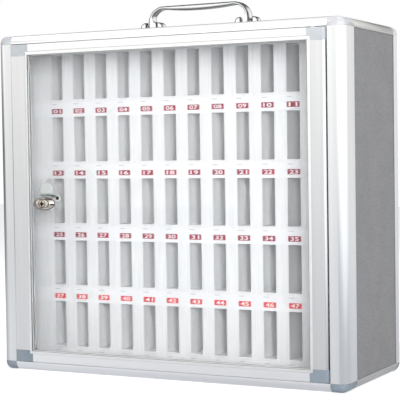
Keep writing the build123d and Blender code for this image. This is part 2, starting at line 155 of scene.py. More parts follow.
def make_painted_edge_shade():
    """Share of a darker tone along the rolled edges of a piece, broken up a little: painted shade and painted dark
    reflection there.
    """
    tree, place, result = effect("painted_edge_shade", "Edge")
    mark = add(tree, "ShaderNodeAttribute", attribute_name="edge")
    broken = spread(tree, noise(tree, place, 160, 2), 0.3, 0.7, 0.85, 1.0)
    tree.links.new(maths(tree, "MULTIPLY", mark.outputs["Fac"], broken), result.inputs["Edge"])
    return tree


DRAWN_GRAIN, SPECKLE, HANDLING = make_drawn_grain(), make_speckle(), make_handling()
EDGE_SHADE = make_painted_edge_shade()


def surface(name, group, stretch, colours, tone, roughness, wear, bump, edge=None, **fixed):
    """A material: tone mixes the two colours, wear varies the roughness, bump lifts the surface.

    tone, wear and bump are outputs of the effect; bump goes with a height in metres. edge is a colour
    for rolled edges, which paints shade and dark reflection there. Settings that are the same all over go straight
    to the shader's sockets."""
    material = bpy.data.materials.new(name)
    material.use_nodes = True
    tree = material.node_tree
    shader = tree.nodes["Principled BSDF"]
    source = add(tree, "ShaderNodeGroup", node_tree=group)
    source.inputs["Stretch"].default_value = stretch
    colour = mixed(tree, source.outputs[tone], *colours)
    # Rolled edges turn towards the edge colour: painted shade and painted dark reflection.
    if edge:
        rim = add(tree, "ShaderNodeGroup", node_tree=EDGE_SHADE)
        colour = mixed(tree, rim.outputs["Edge"], colour, edge)
    tree.links.new(colour, shader.inputs["Base Color"])
    tree.links.new(spread(tree, source.outputs[wear], 0, 1, *roughness), shader.inputs["Roughness"])
    lift = add(tree, "ShaderNodeBump")
    lift.inputs["Distance"].default_value = bump[1]
    tree.links.new(source.outputs[bump[0]], lift.inputs["Height"])
    tree.links.new(lift.outputs["Normal"], shader.inputs["Normal"])
    for label, value in fixed.items():
        shader.inputs[label.replace("_", " ")].default_value = value
    return material


def drawn_metal(name, stretch, dark, pale, roughness=(0.3, 0.42), line_height=8e-6, **settings):
    """Metal with fine lines along its length."""
    return surface(name, DRAWN_GRAIN, stretch, (dark, pale), "Bands", roughness, "Lines",
                   ("Lines", line_height), Metallic=1.0, **settings)


def handled(name, dark, pale, roughness, grain_height, tone="Smears", **settings):
    """A moulded, polished, printed or coated surface with faint smears and a fine grain."""
    return surface(name, HANDLING, EVEN, (dark, pale), tone, roughness, "Smears",
                   ("Grain", grain_height), **settings)


def recolour(material, share, colour):
    """Mixes another colour into a material's base colour."""
    tree = material.node_tree
    base = tree.nodes["Principled BSDF"].inputs["Base Color"]
    tree.links.new(mixed(tree, share, base.links[0].from_socket, colour), base)


def along_axis(tree, kind, output, axis):
    """One part of the object place or of the surface's direction."""
    parts = add(tree, "ShaderNodeSeparateXYZ")
    tree.links.new(add(tree, kind).outputs[output], parts.inputs[0])
    return parts.outputs[axis]


def paint_light_and_shade_on_slot_walls(material, near, deep, reach):
    """Colours the walls of the slots, which look sideways, darker at their front edges, where the lamp lights
    them, and paler in the depth, which lies in shadow: painted shade and painted light.
    """
    tree = material.node_tree
    facing = along_axis(tree, "ShaderNodeNewGeometry", "Normal", "X")
    depth = spread(tree, along_axis(tree, "ShaderNodeTexCoord", "Object", "Y"), *reach)
    recolour(material, maths(tree, "MULTIPLY", facing, facing), mixed(tree, depth, near, deep))


def paint_shade_on_rounding(material, reach, colour):
    """Darkens a post towards its outer rounding, between two places along X: a painted dark reflection."""
    tree = material.node_tree
    place = along_axis(tree, "ShaderNodeTexCoord", "Object", "X")
    recolour(material, spread(tree, place, *reach, 1, 0), colour)


# ---------------------------------------------------------------- materials

ALONG_X, ALONG_Y, ALONG_Z = (0.02, 1, 1), (1, 0.02, 1), (1, 1, 0.02)
EVEN = (1, 1, 1)
CASE_TONES = (0.77, 0.78, 0.79), (0.85, 0.86, 0.87)
MOULDED = (0.36, 0.5), 1.5e-5
PRINTED = (0.35, 0.5), 6e-6
# Places in metres where a colour starts to give way to another and where it has done so.
# Where the slot walls' painted shade at the front gives way to painted light in the depth.
SLOT_WALL_LIGHT_Y = -0.042, -0.012
# Where the left post's painted dark reflection starts and where it is full.
LEFT_ROUNDING_SHADE_X = -0.3035, -0.2985

# The aluminium tones are lit and shaded copies of one finish: painted light on the bars across, painted shade on
# the rails along the depth, the uprights between them, and the hinge-side stile more shaded than the lock-side
# stile.
CASE_X = drawn_metal("case_aluminium_across_painted_light", ALONG_X, (0.91, 0.915, 0.925), (0.96, 0.965, 0.975))
CASE_Y = drawn_metal("case_aluminium_deep_painted_shade", ALONG_Y, (0.54, 0.54, 0.535), (0.62, 0.62, 0.61))
CASE_Z = drawn_metal("case_aluminium_upright", ALONG_Z, *CASE_TONES)
# The left post has a darker strip along its outer rounding: painted dark reflection.
POST_LEFT_SHADED = drawn_metal("case_aluminium_left_painted_shade", ALONG_Z, *CASE_TONES)
paint_shade_on_rounding(POST_LEFT_SHADED, LEFT_ROUNDING_SHADE_X, (0.62, 0.62, 0.625))
DOOR_X = drawn_metal("door_aluminium_across_painted_light", ALONG_X, (0.88, 0.885, 0.89), (0.94, 0.945, 0.95))
DOOR_Z = drawn_metal("door_aluminium_upright", ALONG_Z, (0.74, 0.745, 0.75), (0.86, 0.865, 0.87))
DOOR_HINGE_SHADED = drawn_metal("door_aluminium_hinge_side_painted_shade", ALONG_Z, (0.68, 0.685, 0.69), (0.79, 0.795, 0.8))
# The bead's dark edge colour is painted shade along its rolled edges and mitres.
BEAD = drawn_metal("door_bead", EVEN, (0.88, 0.885, 0.89), (0.94, 0.945, 0.95), edge=(0.3, 0.29, 0.27))
STEEL = drawn_metal("drawn_steel", EVEN, (0.55, 0.55, 0.56), (0.65, 0.65, 0.65), (0.25, 0.38), 5e-6)

# The cap tones are lit and shaded copies of one moulding: painted light on the top caps, brightest at the front
# top right and the rear top, and painted shade on the base and rear base caps.
CAP_TOP = handled("moulded_cap_painted_light", (0.4, 0.43, 0.455), (0.48, 0.5, 0.52), *MOULDED)
CAP_MOST_LIT = handled("moulded_cap_silver", (0.47, 0.475, 0.495), (0.59, 0.595, 0.61), *MOULDED)
CAP_BASE = handled("moulded_cap_blue_grey_painted_shade", (0.185, 0.225, 0.265), (0.24, 0.28, 0.32), *MOULDED)
CAP_SHADE = handled("moulded_cap_rear_painted_shade", (0.24, 0.25, 0.26), (0.33, 0.34, 0.35), *MOULDED)

LAMINATE = surface("mottled_laminate", SPECKLE, EVEN, ((0.147, 0.147, 0.157), (0.25, 0.25, 0.257)), "Spots",
                   (0.5, 0.65), "Clouds", ("Dots", 3e-5))
RACK = surface("white_rack", DRAWN_GRAIN, (0.5, 0.5, 0.012), ((0.72, 0.725, 0.735), (0.83, 0.83, 0.833)),
               "Lines", (0.35, 0.5), "Bands", ("Lines", 1e-5))
# The slot walls get painted light in the depth, paler than real white sheet.
paint_light_and_shade_on_slot_walls(RACK, (0.74, 0.74, 0.75), (0.98, 0.98, 0.985), SLOT_WALL_LIGHT_Y)
SEAL = handled("grey_seal", (0.3, 0.31, 0.33), (0.36, 0.37, 0.39), (0.6, 0.75), 2e-5, tone="Grain")
# Near black for the strip in the door's gap on the lock side: painted shade.
GAP_SHADE = handled("painted_gap_shade", (0.05, 0.05, 0.05), (0.08, 0.08, 0.078), (0.6, 0.75), 2e-5, tone="Grain")
NYLON = handled("white_nylon", (0.8, 0.8, 0.77), (0.86, 0.86, 0.84), (0.4, 0.55), 1e-5, tone="Grain")

# Nickel; its dark edge colour is painted shade in grooves and at rims.
NICKEL = handled("warm_nickel", (0.66, 0.61, 0.54), (0.74, 0.69, 0.62), (0.16, 0.3), 6e-6,
                 edge=(0.09, 0.075, 0.06), Metallic=1.0)
# Polished chrome; its near-black edge colour is painted dark reflection along rolled edges.
CHROME = handled("polished_chrome", (0.78, 0.79, 0.8), (0.86, 0.87, 0.88), (0.06, 0.16), 2e-6,
                 edge=(0.035, 0.038, 0.04), Metallic=1.0)
# Near black for the pull's pin, and painted shade in the keyway and the bezel's neck slots.
NEAR_BLACK = handled("near_black_pin_and_painted_recess_shade", (0.012, 0.008, 0.006), (0.03, 0.02, 0.015), (0.5, 0.7), 8e-6,
                     Specular_IOR_Level=0.08)
PANE = handled("clear_sheet", (0.96, 0.98, 0.985), (0.985, 0.99, 0.99), (0.02, 0.06), 1e-6,
               Transmission_Weight=1.0, IOR=1.02, Alpha=0.5, Coat_Weight=1.0, Coat_IOR=1.55)
# Clear moulding; its dark teal edge colour is painted shade and painted edge reflection.
PULL = handled("clear_moulding", (0.83, 0.86, 0.84), (0.88, 0.9, 0.88), (0.12, 0.22), 4e-6,
               edge=(0.1, 0.15, 0.15), Transmission_Weight=0.6, IOR=1.49)

RED_LABEL = handled("red_label", (0.24, 0.01, 0.038), (0.36, 0.016, 0.05), *PRINTED)
BRIGHT_LABEL = handled("bright_red_label", (0.6, 0.045, 0.05), (0.72, 0.06, 0.065), *PRINTED)
WHITE_PRINT = handled("white_print", (0.88, 0.88, 0.88), (0.93, 0.93, 0.93), (0.4, 0.5), 4e-6)
GREY_PRINT = handled("grey_print", (0.4, 0.42, 0.44), (0.5, 0.52, 0.54), (0.4, 0.5), 4e-6, tone="Grain")
RIBBON = handled("label_ribbon", (0.79, 0.795, 0.805), (0.83, 0.83, 0.84), (0.25, 0.4), 4e-6)


def dress(node, material):
    """Gives a CAD node its material and small soft edges."""
    item = frame["nodes"][node]
    item.data.materials.clear()
    item.data.materials.append(material)
    weld = item.modifiers.new("weld", "WELD")
    weld.merge_threshold = 1e-6
    soften = item.modifiers.new("soften", "BEVEL")
    soften.width = 0.3 * MM
    soften.segments = 2
    soften.limit_method = "ANGLE"
    soften.angle_limit = math.radians(40)
    soften.harden_normals = True


# The first entry that a node's name starts with gives its material.
NODE_MATERIALS = [
    ("front_post_left", POST_LEFT_SHADED), ("front_post", CASE_Z), ("rear_post", CASE_Z),
    ("front_rail", CASE_X), ("rear_rail", CASE_X), ("side_rail", CASE_Y),
    ("door_stile_hinge", DOOR_HINGE_SHADED), ("door_stile", DOOR_Z), ("door_rail", DOOR_X),
    ("cap_front_top_right", CAP_MOST_LIT), ("cap_front_top", CAP_TOP), ("cap_rear_top", CAP_MOST_LIT),
    ("cap_rear", CAP_SHADE), ("cap_", CAP_BASE), ("door_corner_top", CAP_TOP), ("door_corner_base", CAP_BASE),
    ("side_panel", LAMINATE), ("panel_", LAMINATE), ("rack_", RACK), ("slot_dividers", RACK),
    ("door_pane", PANE), ("pane_gasket", SEAL), ("pivot_pins", STEEL), ("pivot_washers", NYLON),
    ("strike_plate", STEEL), ("finger_pull", PULL), ("lock_housing", NICKEL), ("lock_nut", STEEL),
    ("lock_plug", NICKEL), ("lock_cam", STEEL), ("cam_screw", STEEL), ("handle_bail", CHROME),
    ("handle_bracket", CHROME), ("handle_pins", STEEL),
]


def material_of(node):
    return next(material for start, material in NODE_MATERIALS if node.startswith(start))


for node in frame["nodes"]:
    dress(node, material_of(node))

# ---------------------------------------------------------------- making meshes


def mesh_piece(name, points, faces, material, body, slot, edge_shade_shares, smooth_angle=35):
    """One piece from points in millimetres; the edge shares say how far each point lies on a rolled edge, where
    shade is painted.
    """
    mesh = bpy.data.meshes.new(name)
    mesh.from_pydata([[c * MM for c in p] for p in points], [], faces)
    # The edge attribute says where painted shade and dark reflection lie along rolled edges.
    mesh.attributes.new("edge", "FLOAT", "POINT").data.foreach_set("value", edge_shade_shares)
    shape = bmesh.new()
    shape.from_mesh(mesh)
    bmesh.ops.remove_doubles(shape, verts=shape.verts, dist=1e-7)
    bmesh.ops.recalc_face_normals(shape, faces=shape.faces)
    for face in shape.faces:
        face.smooth = True
    for edge in shape.edges:
        edge.smooth = edge.calc_face_angle(0) < math.radians(smooth_angle)
    shape.to_mesh(mesh)
    shape.free()
    return placed_piece(name, mesh, material, body)


def placed_piece(name, mesh, material, body):
    """Puts a finished mesh in the scene, on the body that carries it."""
    mesh.materials.append(material)
    item = bpy.data.objects.new(name, mesh)
    bpy.context.collection.objects.link(item)
    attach(item, body)
    return item


class Form:
    """Points and faces gathered for one piece."""

    def __init__(self):
        self.points, self.faces, self.edge = [], [], []

    def rings(self, rings, close_start=True, close_end=True, round_trip=True, edge=None):
        """Skins a list of rings that have the same number of points; edge has a share of painted edge shade for
        each point.
        """
        start, size = len(self.points), len(rings[0])
        for ring in rings:
            self.points.extend(ring)
        self.edge.extend(edge or [0.0] * (len(rings) * size))
        for row in range(len(rings) - 1):
            low, high = start + row * size, start + (row + 1) * size
            for i in range(size if round_trip else size - 1):
                j = (i + 1) % size
                self.faces.append((low + i, low + j, high + j, high + i))
        if close_start:
            self.faces.append(tuple(range(start, start + size)))
        if close_end:
            last = start + (len(rings) - 1) * size
            self.faces.append(tuple(range(last, last + size)))
        return self

    def plate(self, outline, y_back, y_front, edge=0.0):
        """A flat solid along Y with an outline in X and Z."""
        return self.rings([[(x, y, z) for x, z in outline] for y in (y_back, y_front)],
                          edge=[edge] * (2 * len(outline)))

    def rolled(self, outline, back, front, roll, fade=0.9, steps=3):
        """A solid along Y with the given outline in X and Z, and rolled edges that are marked for painted edge
        shade.
        """
        xs, zs = [x for x, z in outline], [z for x, z in outline]
        cx, cz = (min(xs) + max(xs)) / 2, (min(zs) + max(zs)) / 2
        wide, tall = (max(xs) - min(xs)) / 2, (max(zs) - min(zs)) / 2
        away = 1 if back > front else -1
        levels = [(0.0, roll + fade, 0.0)]
        for i in range(steps + 1):
            a = math.pi / 2 * i / steps
            levels.append((roll * (1 - math.cos(a)), roll * (1 - math.sin(a)), 1.0))
        levels.append((roll + fade, 0.0, 0.0))
        levels = [(front + away * lift, inset, mark) for lift, inset, mark in levels]
        levels += [(back + front - y, inset, mark) for y, inset, mark in reversed(levels)]
        rings, marks = [], []
        for y, inset, mark in levels:
            rings.append([(cx + (x - cx) * (1 - inset / wide), y, cz + (z - cz) * (1 - inset / tall))
                          for x, z in outline])
            marks.extend([mark] * len(outline))
        return self.rings(rings, edge=marks)

    def piece(self, name, material, body, slot, **settings):
        return mesh_piece(name, self.points, self.faces, material, body, slot, self.edge, **settings)


def quarter(cx, cz, radius, start, steps):
    """Points of a quarter circle that starts at an angle in degrees."""
    angles = [math.radians(start + 90 * i / steps) for i in range(steps + 1)]
    return [(cx + radius * math.cos(a), cz + radius * math.sin(a)) for a in angles]


def rounded_outline(x0, x1, z0, z1, radius, steps=4):
    points = []
    for cx, cz, start in ((x1 - radius, z1 - radius, 0), (x0 + radius, z1 - radius, 90),
                          (x0 + radius, z0 + radius, 180), (x1 - radius, z0 + radius, 270)):
        points.extend(quarter(cx, cz, radius, start, steps))
    return points


def full_turn(count):
    return [2 * math.pi * i / count for i in range(count)]


def oval_ring(x, z, rx, rz, y, count=96):
    return [(x + rx * math.cos(a), y, z + rz * math.sin(a)) for a in full_turn(count)]


def for_each(marks, count):
    """The shares of painted edge shade of rings of count points, from one share for each ring."""
    return [mark for mark in marks for _ in range(count)]


# ---------------------------------------------------------------- corner caps

POST_W, FRONT_POST_D, REAR_POST_D, RAIL_H = 26.5, 43.0, 25.0, 14.5
CASE_EDGE_R = 12.0
CAP_JOINT = 0.35         # how far a cap is drawn back where it meets the extrusions
CAP_STEPS = 14


def cap_piece(name):
    """Smoothly rounded corner cap, drawn back a little where it meets the extrusions."""
    low, high = node_box(name)
    at_right, at_top, at_front = "right" in name, "top" in name, "front" in name
    sizes = (POST_W, FRONT_POST_D if at_front else REAR_POST_D, RAIL_H)
    corner = (high[0] if at_right else low[0], low[1] if at_front else high[1], high[2] if at_top else low[2])
    inward = (-1 if at_right else 1, 1 if at_front else -1, -1 if at_top else 1)

    def stations(length):
        return [CASE_EDGE_R * i / CAP_STEPS for i in range(CAP_STEPS + 1)] + [length - CAP_JOINT, length]

    def rounded(place):
        """Moves a place on the sharp corner in to the rounding."""
        core = [max(value, CASE_EDGE_R) for value in place]
        away = Vector(place) - Vector(core)
        if away.length < 1e-9:
            return place
        cube = max(abs(c) for c in away)
        return [c + d / away.length * cube for c, d in zip(core, away)]

    form = Form()
    for axis in range(3):
        first, second = [i for i in range(3) if i != axis]
        rows = []
        for u in stations(sizes[first]):
            row = []
            for v in stations(sizes[second]):
                place = [0.0, 0.0, 0.0]
                place[first], place[second] = u, v
                turned = rounded(place)
                across = [second] * (u == sizes[first]) + [first] * (v == sizes[second])
                for i in across and {axis, *across}:
                    if turned[i] < sizes[i] - CAP_JOINT:
                        turned[i] += CAP_JOINT
                row.append(tuple(corner[i] + inward[i] * turned[i] for i in range(3)))
            rows.append(row)
        form.rings(rows, close_start=False, close_end=False, round_trip=False)
    item = form.piece(f"smooth_{name}", material_of(name), "case", "corner_cap", smooth_angle=50)
    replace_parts(item, name)


for name in [n for n in frame["nodes"] if n.startswith("cap_")]:
    cap_piece(name)

# ---------------------------------------------------------------- handle

HANDLE_BEND_R, EYE_R, EYE_HALF, EYE_SHIFT = 28.0, 8.0, 8.0, 2.75
EYE_BORE_R, EYE_EDGE = 3.1, 0.7
FOOT_W, BEND_T, GRIP_T = 13.5, 4.6, 8.8
FLARE_TURN = 32          # degrees of the bend over which a leg narrows
LEG_STEPS, BEND_STEPS, GRIP_STEPS = 4, 24, 24
BAIL_EDGE_R = 1.7
EAR_GAP, EAR_W, EAR_HALF_D, EAR_ROUND = 10.0, 11.5, 7.0, 9.0
BRACKET_FOOT_T, BRACKET_CORNER, SCREW_OUT = 3.0, 4.0, 4.9


def bail_stations():
    """Half of the bail's path from a foot to the middle of the grip: x, z, facing angle and thickness."""
    low, high = node_box("handle_bail")
    half, top, pivot_z = (high[0] - low[0]) / 2 - EYE_SHIFT, high[2], JOINT_AT["handle_swing"][2]
    grip_x, bend_z = half - HANDLE_BEND_R, top - HANDLE_BEND_R
    path = [(half, pivot_z + (bend_z - pivot_z) * i / LEG_STEPS, 0.0, FOOT_W) for i in range(LEG_STEPS)]
    for i in range(BEND_STEPS + 1):
        turn = math.pi / 2 * i / BEND_STEPS
        narrowing = max(0.0, 1 - i / BEND_STEPS * 90 / FLARE_TURN) ** 2
        path.append((grip_x + HANDLE_BEND_R * math.cos(turn), bend_z + HANDLE_BEND_R * math.sin(turn), turn,
                     BEND_T + (FOOT_W - BEND_T) * narrowing))
    for i in range(1, GRIP_STEPS + 1):
        share = 1 - i / GRIP_STEPS
        path.append((grip_x * share, top, math.pi / 2, GRIP_T + (BEND_T - GRIP_T) * share ** 2))
    return path


def bail_outline(deep, half, steps=4, fade=1.9):
    """Section of the bail, flat with rolled edges and a rounder inner side, and each point's share of painted dark
    reflection on those edges.
    """
    inner_r = min(0.75 * half, 3.4)
    # Full painted dark reflection on the outer rolled edges, fading on the rounder inner side.
    dark, soft = [1.0] * (steps + 1), [0.8 * (i / steps) ** 5 for i in range(steps + 1)]
    shares = [dark, dark, soft, soft[::-1]]
    corners = [quarter(across * (deep - edge_r), side * (half - edge_r), edge_r, start, steps)
               for across, side, edge_r, start in ((1, 1, BAIL_EDGE_R, 0), (-1, 1, BAIL_EDGE_R, 90),
                                                   (-1, -1, inner_r, 180), (1, -1, inner_r, 270))]
    points, marks = [], []
    for i, corner in enumerate(corners):
        for near, far in ((corner[0], corners[i - 1][-1]), (corner[-1], corners[(i + 1) % 4][0])):
            gap = Vector(far) - Vector(near)
            reach = min(fade, 0.45 * gap.length)
            points.append(tuple(Vector(near) + gap.normalized() * reach) if gap.length > 0 else near)
            marks.append(0.0)
            if near is corner[0]:
                points.extend(corner)
                marks.extend(shares[i])
    return points, marks


def bail_piece():
    """Chromed bail: a flat bar swept up a leg, round a bend and along the swelling grip."""
    low, high = node_box("handle_bail")
    deep, centre_y = (high[1] - low[1]) / 2, (low[1] + high[1]) / 2
    path = bail_stations()
    mirrored = [(-x, z, math.pi - turn, thick) for x, z, turn, thick in reversed(path[:-1])]
    rings, marks = [], []
    for x, z, turn, thick in path + mirrored:
        out = (math.cos(turn), math.sin(turn))
        middle = (x - out[0] * thick / 2, z - out[1] * thick / 2)
        section, section_marks = bail_outline(deep, thick / 2)
        marks.extend(section_marks)
        rings.append([(middle[0] + out[0] * lift, centre_y + across, middle[1] + out[1] * lift)
                      for across, lift in section])
    form = Form().rings(rings, edge=marks)
    pivot_z, face_r, turns = JOINT_AT["handle_swing"][2], EYE_R - EYE_EDGE, full_turn(48)
    profile = [(EYE_BORE_R, -1.0), (face_r, -1.0), (EYE_R, -0.92), (EYE_R, 0.92), (face_r, 1.0),
               (EYE_BORE_R, 1.0), (EYE_BORE_R, -1.0)]     # radius, and place along the eye's half length
    # The eyes' rims get painted dark reflection; their bores get none.
    for side in (-1, 1):
        eye_x = side * (high[0] - EYE_HALF)
        form.rings([[(eye_x + along * EYE_HALF, centre_y + r * math.cos(a), pivot_z + r * math.sin(a))
                     for a in turns] for r, along in profile], close_start=False, close_end=False,
                   edge=for_each([0.0 if r == EYE_BORE_R else 0.8 for r, along in profile], len(turns)))
    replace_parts(form.piece("smooth_bail", CHROME, "handle", "handle_chrome"), "handle_bail")


bail_piece()


def bracket_piece(side):
    """Clevis bracket: a foot plate held by two screws, and two ears with rolled edges; painted dark reflection
    along the rolled edges and on the screw heads.
    """
    node = "handle_bracket_right" if side > 0 else "handle_bracket_left"
    low, high = node_box(node)
    cx, cy, foot_z, ear_top = (low[0] + high[0]) / 2, (low[1] + high[1]) / 2, low[2], high[2]
    foot_top, ear_foot = foot_z + BRACKET_FOOT_T, foot_z + BRACKET_FOOT_T - 0.6
    form = Form()
    for way in (-1, 1):
        inner, outer = cx + way * EAR_GAP, cx + way * (EAR_GAP + EAR_W)
        outline = [(inner, ear_foot), (inner, ear_top)]
        for i in range(13):
            a = math.pi / 2 * i / 12
            outline.append((outer - way * EAR_ROUND * (1 - math.sin(a)),
                            ear_top - EAR_ROUND * (1 - math.cos(a))))
        outline.append((outer, ear_foot))
        form.rolled(outline, cy + EAR_HALF_D, cy - EAR_HALF_D, 1.5, 1.2)
    wide, deep = (high[0] - low[0]) / 2, (high[1] - low[1]) / 2
    plan = rounded_outline(cx - wide, cx + wide, cy - deep, cy + deep, BRACKET_CORNER, 6)
    levels = ((foot_z, 0.0, 1.0), (foot_z + 0.8, 0.0, 0.2), (foot_top - 0.7, 0.0, 0.4),
              (foot_top - 0.25, 0.2, 1.0), (foot_top, 0.7, 1.0), (foot_top, 1.8, 0.0))     # z, inset, edge
    form.rings([[(cx + (x - cx) * (1 - d / wide), cy + (y - cy) * (1 - d / deep), z) for x, y in plan]
                for z, d, mark in levels], edge=for_each([mark for z, d, mark in levels], len(plan)))
    turns = full_turn(28)
    screw = ((3.3, 0.0, 1.0), (3.3, 0.4, 1.0), (2.6, 1.1, 0.3), (1.3, 1.4, 0.8), (1.2, 0.5, 1.0))
    for way in (-1, 1):
        x = cx + way * (EAR_GAP + EAR_W + SCREW_OUT)
        form.rings([[(x + r * math.cos(a), cy + r * math.sin(a), foot_top + rise) for a in turns]
                    for r, rise, mark in screw], edge=for_each([mark for r, rise, mark in screw], len(turns)))
    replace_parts(form.piece("smooth_" + node, CHROME, "case", "handle_chrome"), node)


for side in (-1, 1):
    bracket_piece(side)

# ---------------------------------------------------------------- lock and finger pull

BEZEL_FACE, BEZEL_RIM = (14.3, 8.3), (21.4, 10.8)     # half widths and half heights
BEZEL_FACE_DEPTH, BEZEL_RIM_DEPTH = 0.8, 6.2
BEZEL_BORE = 6.45
BARREL_R, THREAD_R, THREAD_PITCH = 8.8, 8.25, 1.25
KEYWAY_ARMS = (1.4, 3.9), (3.9, 1.2)
CAM_SQUARE_HALF = 3.4


def neck_place(share):
    """Half width, half height and depth behind the face on the bezel's neck, from its face to its rim."""
    bow = share ** 1.35
    return (BEZEL_FACE[0] + (BEZEL_RIM[0] - 1.2 - BEZEL_FACE[0]) * bow,
            BEZEL_FACE[1] + (BEZEL_RIM[1] - 1.0 - BEZEL_FACE[1]) * bow,
            BEZEL_FACE_DEPTH + (BEZEL_RIM_DEPTH - BEZEL_FACE_DEPTH) * share)


def bezel_piece():
    """Oval bezel: a flat face in a groove, a neck that widens to a thin rim, and a threaded barrel."""
    low, high = node_box("lock_housing")
    x, z = JOINT_AT["lock_turn"][0], JOINT_AT["lock_turn"][2]
    face_y, pane_y, barrel_end = low[1], node_box("door_pane")[0][1], high[1]
    bore, (face_x, face_z), (rim_x, rim_z) = BEZEL_BORE, BEZEL_FACE, BEZEL_RIM
    # Half width, half height, Y and edge share of the ovals, one behind the other. The edge share paints shade in
    # the face's groove, at the rim and in the thread grooves.
    levels = [(bore, bore, barrel_end, 0.0), (bore, bore, face_y + 0.3, 1.0),
              (bore + 0.25, bore + 0.25, face_y, 0.8), (bore + 0.7, bore + 0.5, face_y, 0.0),
              (face_x - 2.1, face_z - 1.5, face_y, 0.0), (face_x - 1.5, face_z - 1.15, face_y + 0.1, 0.9),
              (face_x - 1.1, face_z - 0.9, face_y + 0.5, 1.0), (face_x - 0.6, face_z - 0.55, face_y + 0.45, 1.0),
              (face_x - 0.3, face_z - 0.3, face_y + 0.35, 0.3), (face_x, face_z, face_y + BEZEL_FACE_DEPTH, 0.0)]
    for i in range(1, 9):
        wide, tall, depth = neck_place(i / 9)
        levels.append((wide, tall, face_y + depth, 0.0))
    foot_y, thread_y = face_y + BEZEL_RIM_DEPTH, pane_y + 3.2
    levels += [(rim_x - 1.2, rim_z - 1.0, foot_y, 0.0), (rim_x - 0.8, rim_z - 0.7, foot_y + 0.1, 0.7),
               (rim_x - 0.3, rim_z - 0.3, foot_y + 0.3, 1.0), (rim_x, rim_z, foot_y + 0.8, 1.0),
               (rim_x, rim_z, pane_y, 1.0), (BARREL_R, BARREL_R, pane_y, 0.0), (BARREL_R, BARREL_R, thread_y, 0.0)]
    for turn in range(int((barrel_end - thread_y) / THREAD_PITCH)):
        y = thread_y + turn * THREAD_PITCH
        levels += [(BARREL_R, BARREL_R, y, 0.0), (THREAD_R, THREAD_R, y + 0.5 * THREAD_PITCH, 0.8),
                   (BARREL_R, BARREL_R, y + 0.9 * THREAD_PITCH, 0.0)]
    levels += [(8.2, 8.2, barrel_end, 0.0), (bore, bore, barrel_end, 0.0)]
    rings = [oval_ring(x, z, rx, rz, y) for rx, rz, y, mark in levels]
    form = Form().rings(rings, edge=for_each([level[3] for level in levels], len(rings[0])))
    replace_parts(form.piece("smooth_bezel", NICKEL, "door", "lock_nickel", smooth_angle=45), "lock_housing")
    return x, z, face_y


lock_x, lock_z, lock_face_y = bezel_piece()


def neck_slot_shade():
    """Two near-black pieces in the bezel's neck, at the right and at the upper right, that paint the shade of
    slots there.
    """
    form = Form()
    for (turn_a, share_a), (turn_b, share_b), half_w in (((-8, 0.25), (-8, 1.0), 1.3),
                                                         ((70, 0.35), (40, 1.0), 2.4)):
        rings = []
        for i in range(9):
            share = i / 8
            turn = math.radians(turn_a + (turn_b - turn_a) * share)
            c, s = math.cos(turn), math.sin(turn)
            wide, tall, depth = neck_place(share_a + (share_b - share_a) * share)
            middle = Vector((lock_x + wide * c, lock_face_y + depth, lock_z + tall * s))
            across = Vector((-s, 0, c)) * half_w * math.sin(math.pi * (0.1 + 0.8 * share)) ** 0.5
            rise = Vector((0.4 * c, -0.45, 0.4 * s))
            rings.append([tuple(middle + across), tuple(middle + 0.6 * across + rise),
                          tuple(middle - 0.6 * across + rise), tuple(middle - across), tuple(middle - 2 * rise)])
        form.rings(rings)
    form.piece("neck_slot_shade", NEAR_BLACK, "door", "lock_nickel")


def keyway_reach(turn):
    """Distance from the lock's middle to the outline of its cross-shaped keyway."""
    c, s = abs(math.cos(turn)) + 1e-9, abs(math.sin(turn)) + 1e-9
    return max(min(half_w / c, half_h / s) for half_w, half_h in KEYWAY_ARMS)


def plug_piece():
    """Plug with a cross-shaped keyway, with painted shade inside it, and the square end that drives the cam."""
    low, high = node_box("lock_plug")
    barrel_end, r, turns = node_box("lock_housing")[1][1], (high[0] - low[0]) / 2, full_turn(120)

    def ring(y, reach):
        return [(lock_x + reach(a) * math.cos(a), y, lock_z + reach(a) * math.sin(a)) for a in turns]

    # Y, distance from the middle and edge share of each ring, from the keyway's end to the barrel's end. The edge
    # share paints shade at the keyway's mouth and round the plug's face.
    levels = [(lock_face_y + 4.0, keyway_reach, 1.0), (lock_face_y + 0.2, keyway_reach, 1.0),
              (lock_face_y, lambda a: keyway_reach(a) + 0.2, 1.0),
              (lock_face_y, lambda a: keyway_reach(a) + 0.7, 0.0),
              (lock_face_y, lambda a: r - 0.9, 0.0), (lock_face_y + 0.1, lambda a: r - 0.35, 1.0),
              (lock_face_y + 0.5, lambda a: r, 1.0), (lock_face_y + 1.2, lambda a: r, 0.0),
              (barrel_end, lambda a: r, 0.0), (barrel_end + 0.3, lambda a: r - 0.3, 0.4)]
    form = Form().rings([ring(y, reach) for y, reach, mark in levels],
                        edge=for_each([mark for y, reach, mark in levels], len(turns)))
    half = CAM_SQUARE_HALF
    form.plate(rounded_outline(lock_x - half, lock_x + half, lock_z - half, lock_z + half, 0.6, 3),
               barrel_end, high[1])
    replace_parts(form.piece("smooth_plug", NICKEL, "lock", "lock_nickel"), "lock_plug")
    # A near-black piece inside the keyway is painted shade.
    dark = Form().rings([ring(lock_face_y + depth, lambda a: keyway_reach(a) - 0.05) for depth in (3.9, 0.7)])
    dark.rings([ring(lock_face_y + depth, lambda a: 0.5 * keyway_reach(a)) for depth in (0.7, 0.6)])
    dark.piece("keyway_shade", NEAR_BLACK, "lock", "lock_nickel")


neck_slot_shade()
plug_piece()

PULL_R, PULL_T = 12.0, 3.2
PULL_BOSS_AT, PULL_BOSS_R = (-194.6, 289.2), 6.8
PULL_BAR = [(-227.6, 292.9), (-227.6, 295.0), (-212.0, 295.2), (-204.0, 294.9), (-196.5, 293.2),
            (-196.5, 290.2), (-202.5, 291.0), (-206.0, 292.3), (-214.0, 292.9)]


